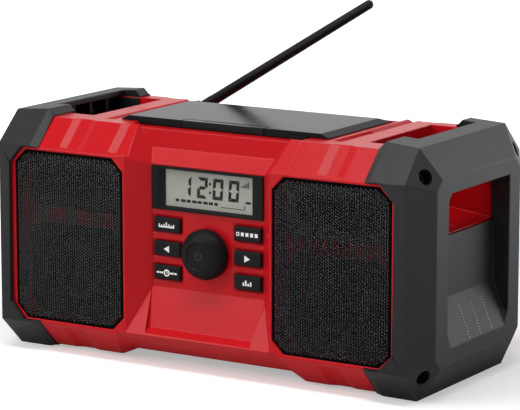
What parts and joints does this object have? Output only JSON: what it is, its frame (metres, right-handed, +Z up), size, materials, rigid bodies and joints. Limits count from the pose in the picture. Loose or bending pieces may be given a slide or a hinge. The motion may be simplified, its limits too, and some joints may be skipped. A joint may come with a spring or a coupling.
{
  "type": "jobsite radio",
  "caption": "Rugged two-speaker radio: a plastic case between rubber end caps with hand holes, a sunken control console, a lidded compartment on top and a folding antenna.",
  "frame": {"origin": "on the ground under the middle of the radio", "axes": "+X to the right seen from the front, -Y out of the front with the speakers and the console, +Z up"},
  "size_m": [0.4, 0.19, 0.2827],
  "materials": {
    "red_shell": "satin moulded plastic with a fine grain",
    "cap_rubber": "matte moulded rubber",
    "screw_steel": "blackened screw heads, dull",
    "grille_metal": "black powder coat, perforated",
    "speaker_black": "matte black",
    "magnet_metal": "plain grey",
    "cone_paper": "pressed fibre",
    "soft_rubber": "soft matte rubber",
    "black_plastic": "fine satin texture",
    "button_rubber": "matte soft touch with white pictograms",
    "window_glass": "clear lens",
    "display_face": "grey-green display face",
    "circuit_board": "green lacquer",
    "bright_steel": "plated, satin",
    "lid_plastic": "dark grey satin plastic",
    "antenna_black": "smooth black sleeve",
    "contact_brass": "plated contact"
  },
  "bodies": {
    "radio": {"front_housing": "red_shell", "rear_housing": "red_shell", "left_end_cap": "cap_rubber", "right_end_cap": "cap_rubber", "end_cap_screws": "screw_steel", "housing_screws": "screw_steel", "left_grille": "grille_metal", "right_grille": "grille_metal", "left_driver_frame": "speaker_black", "right_driver_frame": "speaker_black", "left_driver_magnet": "magnet_metal", "right_driver_magnet": "magnet_metal", "left_driver_cone": "cone_paper", "right_driver_cone": "cone_paper", "left_driver_surround": "soft_rubber", "right_driver_surround": "soft_rubber", "left_dust_cap": "cone_paper", "right_dust_cap": "cone_paper", "left_radiator_surround": "soft_rubber", "right_radiator_surround": "soft_rubber", "left_radiator_plate": "speaker_black", "right_radiator_plate": "speaker_black", "speaker_screws": "screw_steel", "display_bezel": "black_plastic", "display_window": "window_glass", "lcd_panel": "display_face", "control_board": "circuit_board", "button_switches": "bright_steel", "encoder_body": "bright_steel", "compartment_tray": "black_plastic", "lid_seal": "soft_rubber", "lid_hinge_pin": "bright_steel", "charging_socket": "bright_steel", "audio_socket": "black_plastic", "main_board": "circuit_board", "power_transformer": "magnet_metal", "battery_dock": "black_plastic", "battery_terminals": "contact_brass", "mains_inlet": "black_plastic", "backup_cell": "bright_steel"},
    "knob_slider": {"encoder_sleeve": "bright_steel"},
    "knob": {"encoder_shaft": "bright_steel", "control_knob": "black_plastic"},
    "lid": {"compartment_lid": "lid_plastic", "latch_pin": "bright_steel"},
    "latch": {"lid_latch": "lid_plastic"},
    "antenna_swivel_base": {"antenna_base": "black_plastic", "antenna_pin": "bright_steel"},
    "antenna": {"antenna_ferrule": "antenna_black", "antenna_rod": "antenna_black"},
    "band_button": {"band_button": "button_rubber"},
    "previous_button": {"previous_button": "button_rubber"},
    "clock_button": {"clock_button": "button_rubber"},
    "memory_button": {"memory_button": "button_rubber"},
    "next_button": {"next_button": "button_rubber"},
    "tone_button": {"tone_button": "button_rubber"}
  },
  "joints": [
    {"name": "band_button_push", "type": "slide", "parent": "radio", "child": "band_button", "axis": [0, 1, 0], "range_m": [0, 0.001], "stiffness_N_per_m": 400, "springref_m": -0.001},
    {"name": "previous_button_push", "type": "slide", "parent": "radio", "child": "previous_button", "axis": [0, 1, 0], "range_m": [0, 0.001], "stiffness_N_per_m": 400, "springref_m": -0.001},
    {"name": "clock_button_push", "type": "slide", "parent": "radio", "child": "clock_button", "axis": [0, 1, 0], "range_m": [0, 0.001], "stiffness_N_per_m": 400, "springref_m": -0.001},
    {"name": "memory_button_push", "type": "slide", "parent": "radio", "child": "memory_button", "axis": [0, 1, 0], "range_m": [0, 0.001], "stiffness_N_per_m": 400, "springref_m": -0.001},
    {"name": "next_button_push", "type": "slide", "parent": "radio", "child": "next_button", "axis": [0, 1, 0], "range_m": [0, 0.001], "stiffness_N_per_m": 400, "springref_m": -0.001},
    {"name": "tone_button_push", "type": "slide", "parent": "radio", "child": "tone_button", "axis": [0, 1, 0], "range_m": [0, 0.001], "stiffness_N_per_m": 400, "springref_m": -0.001},
    {"name": "knob_push", "type": "slide", "parent": "radio", "child": "knob_slider", "axis": [0, 1, 0], "range_m": [0, 0.001], "stiffness_N_per_m": 900, "springref_m": -0.001},
    {"name": "knob_turn", "type": "hinge", "parent": "knob_slider", "child": "knob", "pos_m": [0, -0.08, 0.0944], "axis": [0, -1, 0], "continuous": true},
    {"name": "lid_hinge", "type": "hinge", "parent": "radio", "child": "lid", "pos_m": [0, 0.048, 0.187], "axis": [-1, 0, 0], "range_deg": [0, 95]},
    {"name": "latch_turn", "type": "hinge", "parent": "lid", "child": "latch", "pos_m": [0, -0.0466, 0.19215], "axis": [-1, 0, 0], "range_deg": [0, 15], "stiffness_Nm_per_rad": 0.03, "springref_deg": -17.19},
    {"name": "antenna_swivel", "type": "hinge", "parent": "radio", "child": "antenna_swivel_base", "pos_m": [-0.112, 0.077, 0.17], "axis": [0, 0, 1], "range_deg": [0, 100]},
    {"name": "antenna_tilt", "type": "hinge", "parent": "antenna_swivel_base", "child": "antenna", "pos_m": [-0.112, 0.077, 0.1768], "axis": [0, -1, 0], "range_deg": [-31, 69]}
  ]
}
